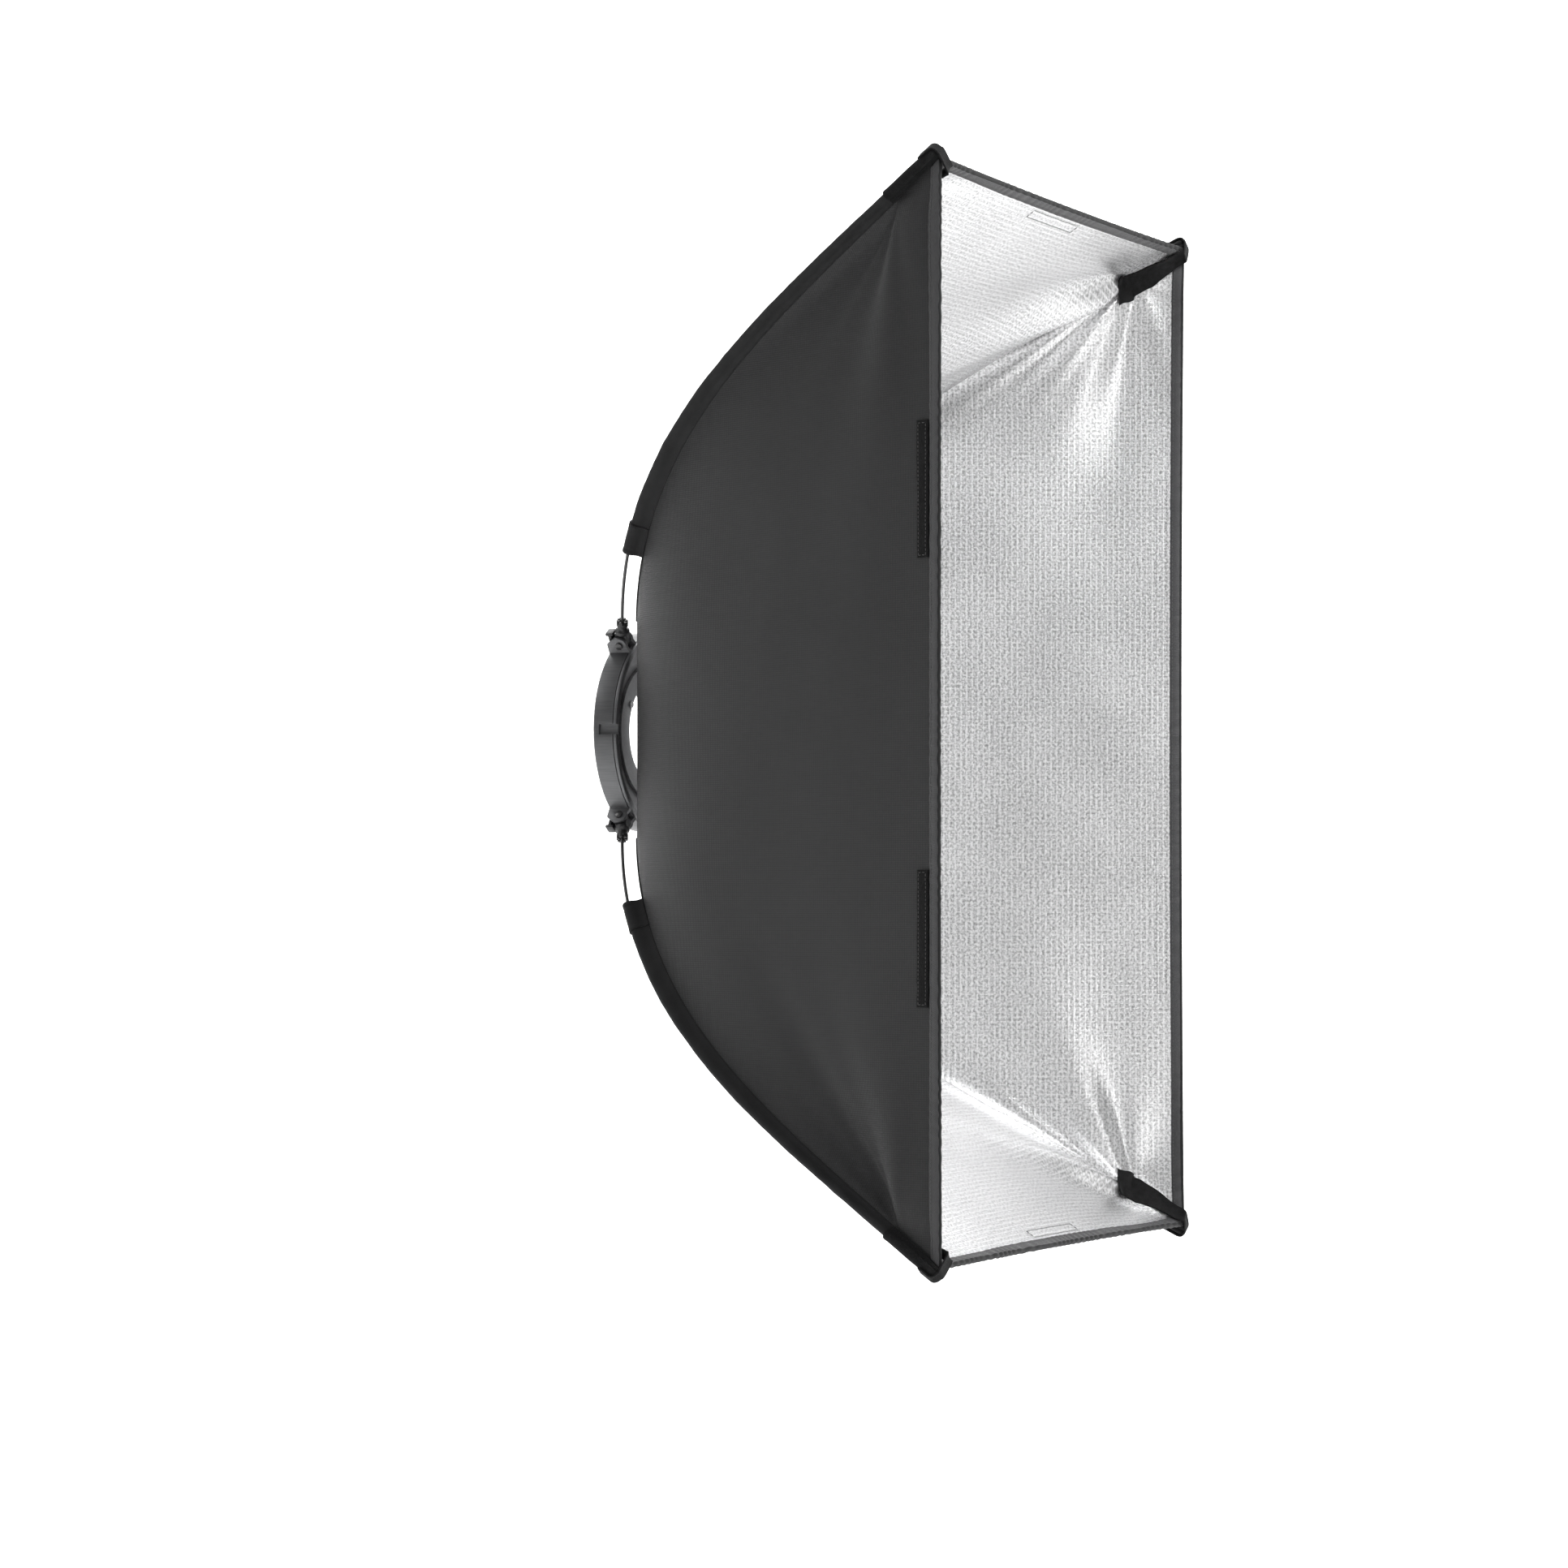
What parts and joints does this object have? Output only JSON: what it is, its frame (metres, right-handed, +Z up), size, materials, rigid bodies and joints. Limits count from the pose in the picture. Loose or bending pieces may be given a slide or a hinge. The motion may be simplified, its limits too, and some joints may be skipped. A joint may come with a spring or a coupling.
{
  "type": "rectangular softbox",
  "caption": "Collapsible rectangular softbox: a turning bayonet speed ring, bowed hinged ribs and a dark fabric shell with a silver lining and an open front.",
  "frame": {"origin": "centre of the speed ring's rear seating face, on the box's centre line", "axes": "-Y along the light, out of the open front; +Z up, along the long side of the front; +X to the right seen from the open front"},
  "size_m": [0.6214, 0.4315, 0.923],
  "materials": {
    "alloy": "black anodised",
    "ring_grey": "satin dark grey moulding",
    "plastic": "moulded black nylon",
    "steel": "plain",
    "rod": "black coated spring rod",
    "rubber": "matt",
    "fabric": "charcoal woven nylon outside, silver coated inside",
    "trim": "black bias tape",
    "webbing": "black napped webbing and hook-and-loop tape"
  },
  "bodies": {
    "light_mount": {"bayonet_insert": "alloy", "glide_ring": "plastic", "retaining_ring": "alloy", "retaining_screw_1": "steel", "retaining_screw_2": "steel", "retaining_screw_3": "steel"},
    "ring": {"speed_ring": "ring_grey", "hinge_pin_upper_right": "steel", "hinge_pin_upper_left": "steel", "hinge_pin_lower_right": "steel", "hinge_pin_lower_left": "steel", "latch_spring_upper_right": "steel", "latch_spring_upper_left": "steel", "latch_spring_lower_right": "steel", "latch_spring_lower_left": "steel", "panel_top": "fabric", "panel_right": "fabric", "panel_bottom": "fabric", "panel_left": "fabric", "binding_top": "trim", "binding_right": "trim", "binding_bottom": "trim", "binding_left": "trim", "strip_top": "webbing", "strip_bottom": "webbing", "strip_right_1": "webbing", "strip_right_2": "webbing", "strip_left_1": "webbing", "strip_left_2": "webbing"},
    "rib_upper_right": {"rod_socket_upper_right": "plastic", "rib_rod_upper_right": "rod", "tip_cap_upper_right": "rubber", "sleeve_upper_right": "fabric", "sleeve_cuff_upper_right": "trim", "corner_pocket_upper_right": "webbing"},
    "rib_upper_left": {"rod_socket_upper_left": "plastic", "rib_rod_upper_left": "rod", "tip_cap_upper_left": "rubber", "sleeve_upper_left": "fabric", "sleeve_cuff_upper_left": "trim", "corner_pocket_upper_left": "webbing"},
    "rib_lower_right": {"rod_socket_lower_right": "plastic", "rib_rod_lower_right": "rod", "tip_cap_lower_right": "rubber", "sleeve_lower_right": "fabric", "sleeve_cuff_lower_right": "trim", "corner_pocket_lower_right": "webbing"},
    "rib_lower_left": {"rod_socket_lower_left": "plastic", "rib_rod_lower_left": "rod", "tip_cap_lower_left": "rubber", "sleeve_lower_left": "fabric", "sleeve_cuff_lower_left": "trim", "corner_pocket_lower_left": "webbing"},
    "tab_upper_right": {"release_tab_upper_right": "plastic"},
    "tab_upper_left": {"release_tab_upper_left": "plastic"},
    "tab_lower_right": {"release_tab_lower_right": "plastic"},
    "tab_lower_left": {"release_tab_lower_left": "plastic"}
  },
  "joints": [
    {"name": "ring_turn", "type": "hinge", "parent": "light_mount", "child": "ring", "pos_m": [0, 0, 0], "axis": [0, 1, 0], "continuous": true},
    {"name": "fold_upper_right", "type": "hinge", "parent": "ring", "child": "rib_upper_right", "pos_m": [0.05301, -0.015, 0.07943], "axis": [0.8318, 0, -0.5551], "range_deg": [0, 50], "deforming": ["panel_top", "binding_top", "panel_right", "binding_right"]},
    {"name": "fold_upper_left", "type": "hinge", "parent": "ring", "child": "rib_upper_left", "pos_m": [-0.05301, -0.015, 0.07943], "axis": [0.8318, 0, 0.5551], "range_deg": [0, 50], "deforming": ["panel_top", "binding_top", "panel_left", "binding_left"]},
    {"name": "fold_lower_right", "type": "hinge", "parent": "ring", "child": "rib_lower_right", "pos_m": [0.05301, -0.015, -0.07943], "axis": [-0.8318, 0, -0.5551], "range_deg": [0, 50], "deforming": ["panel_bottom", "binding_bottom", "panel_right", "binding_right"]},
    {"name": "fold_lower_left", "type": "hinge", "parent": "ring", "child": "rib_lower_left", "pos_m": [-0.05301, -0.015, -0.07943], "axis": [-0.8318, 0, 0.5551], "range_deg": [0, 50], "deforming": ["panel_bottom", "binding_bottom", "panel_left", "binding_left"]},
    {"name": "release_upper_right", "type": "slide", "parent": "ring", "child": "tab_upper_right", "axis": [-0.5551, 0, -0.8318], "range_m": [0, 0.003], "stiffness_N_per_m": 300, "springref_m": -0.002, "deforming": ["latch_spring_upper_right"]},
    {"name": "release_upper_left", "type": "slide", "parent": "ring", "child": "tab_upper_left", "axis": [0.5551, 0, -0.8318], "range_m": [0, 0.003], "stiffness_N_per_m": 300, "springref_m": -0.002, "deforming": ["latch_spring_upper_left"]},
    {"name": "release_lower_right", "type": "slide", "parent": "ring", "child": "tab_lower_right", "axis": [-0.5551, 0, 0.8318], "range_m": [0, 0.003], "stiffness_N_per_m": 300, "springref_m": -0.002, "deforming": ["latch_spring_lower_right"]},
    {"name": "release_lower_left", "type": "slide", "parent": "ring", "child": "tab_lower_left", "axis": [0.5551, 0, 0.8318], "range_m": [0, 0.003], "stiffness_N_per_m": 300, "springref_m": -0.002, "deforming": ["latch_spring_lower_left"]}
  ]
}
